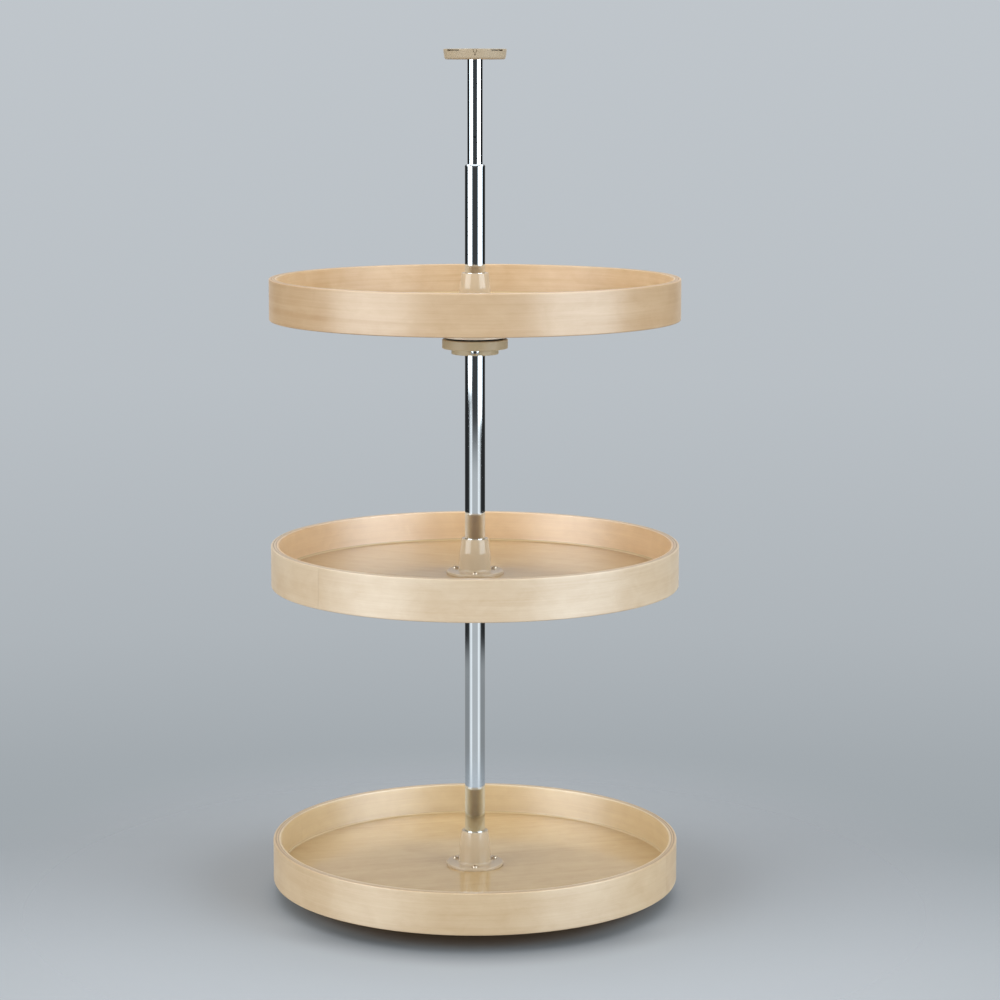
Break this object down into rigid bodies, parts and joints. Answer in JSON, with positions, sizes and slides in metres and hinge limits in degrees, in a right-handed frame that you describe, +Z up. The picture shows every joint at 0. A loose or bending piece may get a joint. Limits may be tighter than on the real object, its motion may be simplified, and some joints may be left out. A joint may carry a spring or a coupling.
{
  "type": "revolving pantry shelf unit",
  "caption": "Tiered round wooden trays with low bent rims, each turning by itself on a telescoping chrome pole with a floor plate and a ceiling plate.",
  "frame": {"origin": "centre of the floor plate's underside, on the pole's axis", "axes": "+Z up the pole, -Y towards the viewer of the picture"},
  "size_m": [0.508, 0.508, 1.058],
  "materials": {
    "board_wood": "clear lacquered plywood floor",
    "rim_wood": "clear lacquered bent birch plies",
    "hub_plastic": "glossy moulded plastic in a wood-like beige",
    "disc_plastic": "satin moulded plastic in khaki beige",
    "dark_plastic": "black moulded plastic",
    "chrome": "polished chrome plate",
    "steel": "bright zinc plated steel"
  },
  "bodies": {
    "post": {"floor_plate": "disc_plastic", "lower_tube": "chrome", "tube_bush": "chrome"},
    "mast": {"upper_tube": "chrome", "tube_foot": "dark_plastic"},
    "ceiling_swivel": {"ceiling_plate": "hub_plastic"},
    "bottom_shelf": {"bottom_board": "board_wood", "bottom_inner_ply": "rim_wood", "bottom_middle_ply": "rim_wood", "bottom_outer_ply": "rim_wood", "bottom_hub": "hub_plastic", "bottom_hub_screws": "steel", "bottom_upper_race": "disc_plastic"},
    "bottom_bearing": {"bottom_ball_cage": "dark_plastic", "bottom_balls": "steel"},
    "middle_shelf": {"middle_board": "board_wood", "middle_inner_ply": "rim_wood", "middle_middle_ply": "rim_wood", "middle_outer_ply": "rim_wood", "middle_hub": "hub_plastic", "middle_hub_screws": "steel", "middle_upper_race": "disc_plastic"},
    "middle_bearing": {"middle_ball_cage": "dark_plastic", "middle_balls": "steel"},
    "middle_support": {"middle_support_collar": "disc_plastic", "middle_clamp_screw": "chrome"},
    "top_shelf": {"top_board": "board_wood", "top_inner_ply": "rim_wood", "top_middle_ply": "rim_wood", "top_outer_ply": "rim_wood", "top_hub": "hub_plastic", "top_hub_screws": "steel", "top_upper_race": "disc_plastic"},
    "top_bearing": {"top_ball_cage": "dark_plastic", "top_balls": "steel"},
    "top_support": {"top_support_collar": "disc_plastic", "top_clamp_screw": "chrome"}
  },
  "joints": [
    {"name": "mast_slide", "type": "slide", "parent": "post", "child": "mast", "axis": [0, 0, 1], "range_m": [-0.12, 0.15]},
    {"name": "ceiling_plate_swivel", "type": "hinge", "parent": "mast", "child": "ceiling_swivel", "pos_m": [0, 0, 1.05], "axis": [0, 0, 1], "continuous": true},
    {"name": "bottom_shelf_turn", "type": "hinge", "parent": "post", "child": "bottom_shelf", "pos_m": [0, 0, 0.052], "axis": [0, 0, 1], "continuous": true},
    {"name": "bottom_bearing_turn", "type": "hinge", "parent": "post", "child": "bottom_bearing", "pos_m": [0, 0, 0.02], "axis": [0, 0, 1], "continuous": true},
    {"name": "middle_height_slide", "type": "slide", "parent": "post", "child": "middle_support", "axis": [0, 0, 1], "range_m": [-0.15, 0.1]},
    {"name": "middle_shelf_turn", "type": "hinge", "parent": "middle_support", "child": "middle_shelf", "pos_m": [0, 0, 0.4255], "axis": [0, 0, 1], "continuous": true},
    {"name": "middle_bearing_turn", "type": "hinge", "parent": "middle_support", "child": "middle_bearing", "pos_m": [0, 0, 0.3935], "axis": [0, 0, 1], "continuous": true},
    {"name": "top_height_slide", "type": "slide", "parent": "post", "child": "top_support", "axis": [0, 0, 1], "range_m": [-0.11, 0.12]},
    {"name": "top_shelf_turn", "type": "hinge", "parent": "top_support", "child": "top_shelf", "pos_m": [0, 0, 0.757], "axis": [0, 0, 1], "continuous": true},
    {"name": "top_bearing_turn", "type": "hinge", "parent": "top_support", "child": "top_bearing", "pos_m": [0, 0, 0.725], "axis": [0, 0, 1], "continuous": true}
  ],
  "couplings": [
    {"joint": "bottom_bearing_turn", "follows": "bottom_shelf_turn", "ratio": 0.5},
    {"joint": "middle_bearing_turn", "follows": "middle_shelf_turn", "ratio": 0.5},
    {"joint": "top_bearing_turn", "follows": "top_shelf_turn", "ratio": 0.5}
  ]
}
